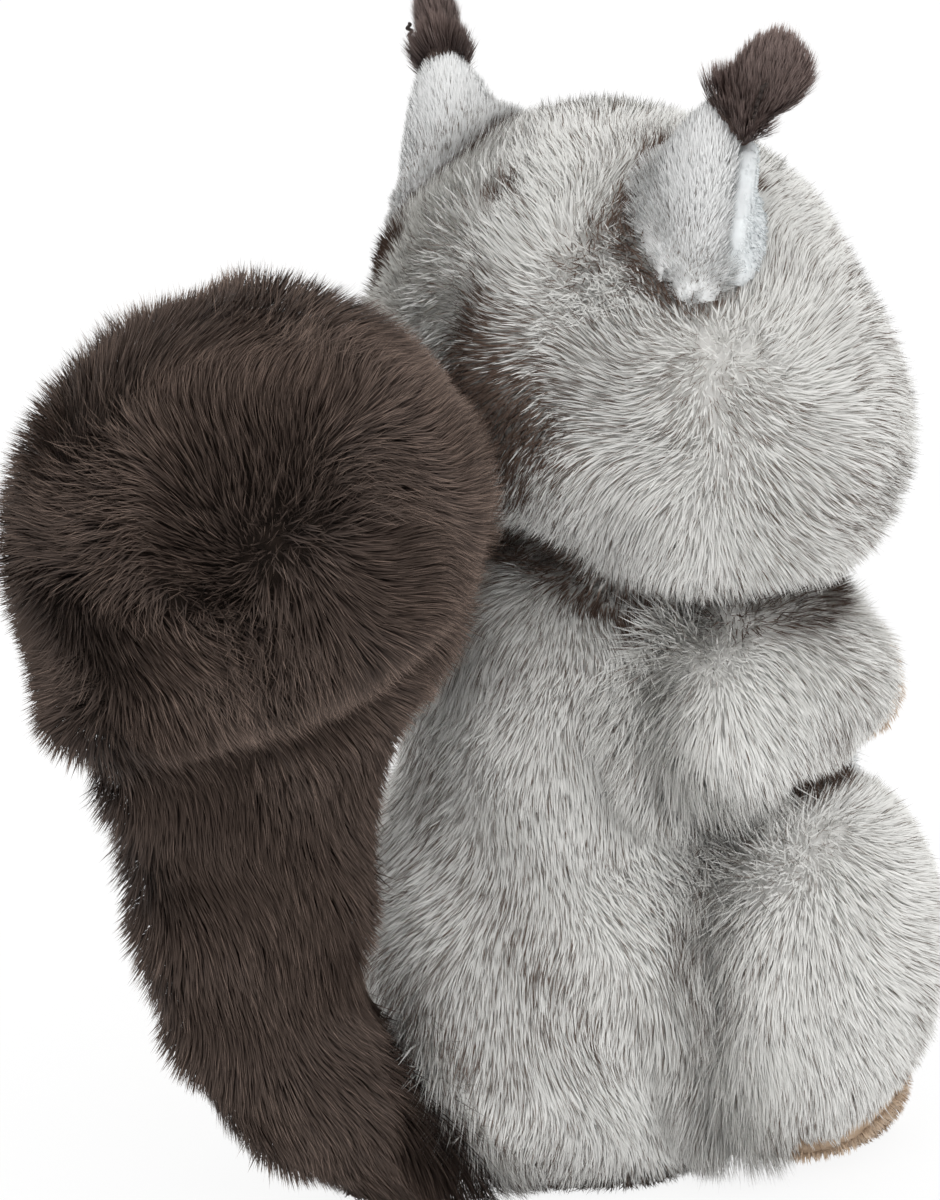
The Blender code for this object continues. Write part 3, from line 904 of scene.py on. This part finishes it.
def point_back(obj, outward):
    """Turns a camera or a lamp that is out that way so that it points back."""
    obj.rotation_mode = "QUATERNION"
    obj.rotation_quaternion = (-outward).to_track_quat("-Z", "Y")


def camera():
    """The photograph's camera, which sees the frame's origin at ORIGIN_PIXEL."""
    data = bpy.data.cameras.new("camera")
    obj = new_object("camera", data)
    back = direction(VIEW_AZIMUTH, VIEW_ELEVATION)
    right = Vector((math.cos(VIEW_AZIMUTH), math.sin(VIEW_AZIMUTH), 0))
    up = back.cross(right)
    aside = (FRAME_WIDTH / 2 - ORIGIN_PIXEL[0]) / PIXELS_PER_METRE
    above = (ORIGIN_PIXEL[1] - FRAME_HEIGHT / 2) / PIXELS_PER_METRE
    obj.location = right * aside + up * above + back * VIEW_DISTANCE
    point_back(obj, back)
    data.sensor_fit = "VERTICAL"
    data.sensor_height = SENSOR_HEIGHT
    data.lens = SENSOR_HEIGHT * VIEW_DISTANCE / (FRAME_HEIGHT / PIXELS_PER_METRE)
    data.clip_start = CLIP_START
    data.clip_end = CLIP_END
    bpy.context.scene.camera = obj


def seen_directly(nodes, links):
    """1 for what the camera sees, also in a gloss or through glass, and 0 for what only lights the toy."""
    path = nodes.new("ShaderNodeLightPath")
    seen = path.outputs["Is Camera Ray"]
    for ray in ("Is Glossy Ray", "Is Transmission Ray"):
        either = nodes.new("ShaderNodeMath")
        either.operation = "MAXIMUM"
        links.new(seen, either.inputs[0])
        links.new(path.outputs[ray], either.inputs[1])
        seen = either.outputs["Value"]
    return seen


def mixed_shader(nodes, links, factor, first, second, output):
    choose = nodes.new("ShaderNodeMixShader")
    links.new(factor, choose.inputs["Fac"])
    links.new(first, choose.inputs[1])
    links.new(second, choose.inputs[2])
    links.new(choose.outputs["Shader"], output)


def pure_white(nodes, kind):
    """A background or an emission that shows as pure white."""
    node = nodes.new(kind)
    node.inputs["Color"].default_value = (1, 1, 1, 1)
    node.inputs["Strength"].default_value = 1
    return node


def soft_lamp(name, strength, azimuth, elevation, softness):
    """A far lamp with a wide face. Its angles are in degrees."""
    data = bpy.data.lights.new(name, "SUN")
    data.energy = strength
    data.angle = math.radians(softness)
    point_back(new_object(name, data), direction(math.radians(azimuth), math.radians(elevation)))


def lights():
    soft_lamp("key", **KEY)
    soft_lamp("fill", **FILL)
    world = bpy.data.worlds.new("studio")
    world.use_nodes = True
    nodes, links = world.node_tree.nodes, world.node_tree.links
    room = nodes["Background"]
    room.inputs["Color"].default_value = (1, 1, 1, 1)
    room.inputs["Strength"].default_value = ROOM_STRENGTH
    white = pure_white(nodes, "ShaderNodeBackground")
    mixed_shader(
        nodes, links, seen_directly(nodes, links), room.outputs["Background"], white.outputs["Background"],
        nodes["World Output"].inputs["Surface"],
    )
    bpy.context.scene.world = world


def floor():
    """A plain pale floor. What the camera sees of it is mostly white, so that the shadow stays faint."""
    bm = bmesh.new()
    bmesh.ops.create_grid(bm, x_segments=1, y_segments=1, size=FLOOR_SIZE / 2)
    mesh = bpy.data.meshes.new("floor")
    bm.to_mesh(mesh)
    bm.free()
    obj = new_object("floor", mesh)
    material, nodes, links, shader = principled("floor", 1.0, specular=0.0)
    shader.inputs["Base Color"].default_value = (*FLOOR_COLOUR, 1)
    white = pure_white(nodes, "ShaderNodeEmission")
    share = nodes.new("ShaderNodeMath")
    share.operation = "MULTIPLY"
    share.inputs[1].default_value = FLOOR_WHITENESS
    links.new(seen_directly(nodes, links), share.inputs[0])
    mixed_shader(
        nodes, links, share.outputs["Value"], shader.outputs["BSDF"], white.outputs["Emission"],
        nodes["Material Output"].inputs["Surface"],
    )
    mesh.materials.append(material)


camera()
lights()
floor()
bpy.context.scene.view_settings.view_transform = "Standard"
